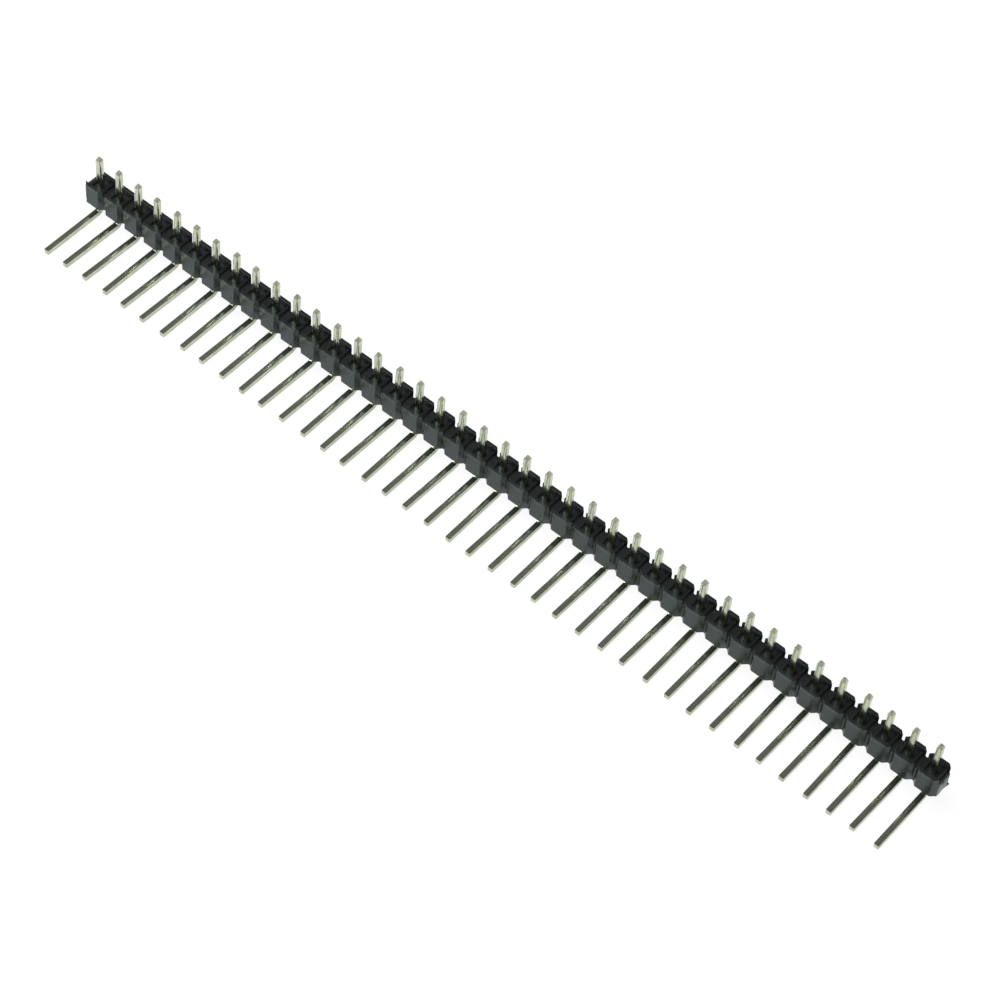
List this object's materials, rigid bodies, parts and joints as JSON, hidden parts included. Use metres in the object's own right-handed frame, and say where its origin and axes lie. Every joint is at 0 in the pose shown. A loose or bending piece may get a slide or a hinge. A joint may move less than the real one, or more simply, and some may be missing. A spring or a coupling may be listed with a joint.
{
  "type": "right-angle pin header strip",
  "caption": "Single-row right-angle male pin header: square bent pins held in a black moulded strip that breaks apart between positions.",
  "frame": {"origin": "middle of the row, on the pins' centre line, in the plane of the lips' faces that seat on the circuit board", "axes": "+X along the row; -Y the way the mating legs point; +Z from the board-seat face along the solder tails, so the strip as drawn lies on its mating legs"},
  "size_m": [0.1018, 0.0089, 0.0075],
  "materials": {
    "housing_plastic": "satin",
    "pin_plating": "satin"
  },
  "bodies": {
    "root": {"housing": "housing_plastic", "pin_01": "pin_plating", "pin_02": "pin_plating", "pin_03": "pin_plating", "pin_04": "pin_plating", "pin_05": "pin_plating", "pin_06": "pin_plating", "pin_07": "pin_plating", "pin_08": "pin_plating", "pin_09": "pin_plating", "pin_10": "pin_plating", "pin_11": "pin_plating", "pin_12": "pin_plating", "pin_13": "pin_plating", "pin_14": "pin_plating", "pin_15": "pin_plating", "pin_16": "pin_plating", "pin_17": "pin_plating", "pin_18": "pin_plating", "pin_19": "pin_plating", "pin_20": "pin_plating", "pin_21": "pin_plating", "pin_22": "pin_plating", "pin_23": "pin_plating", "pin_24": "pin_plating", "pin_25": "pin_plating", "pin_26": "pin_plating", "pin_27": "pin_plating", "pin_28": "pin_plating", "pin_29": "pin_plating", "pin_30": "pin_plating", "pin_31": "pin_plating", "pin_32": "pin_plating", "pin_33": "pin_plating", "pin_34": "pin_plating", "pin_35": "pin_plating", "pin_36": "pin_plating", "pin_37": "pin_plating", "pin_38": "pin_plating", "pin_39": "pin_plating", "pin_40": "pin_plating"}
  },
  "joints": []
}
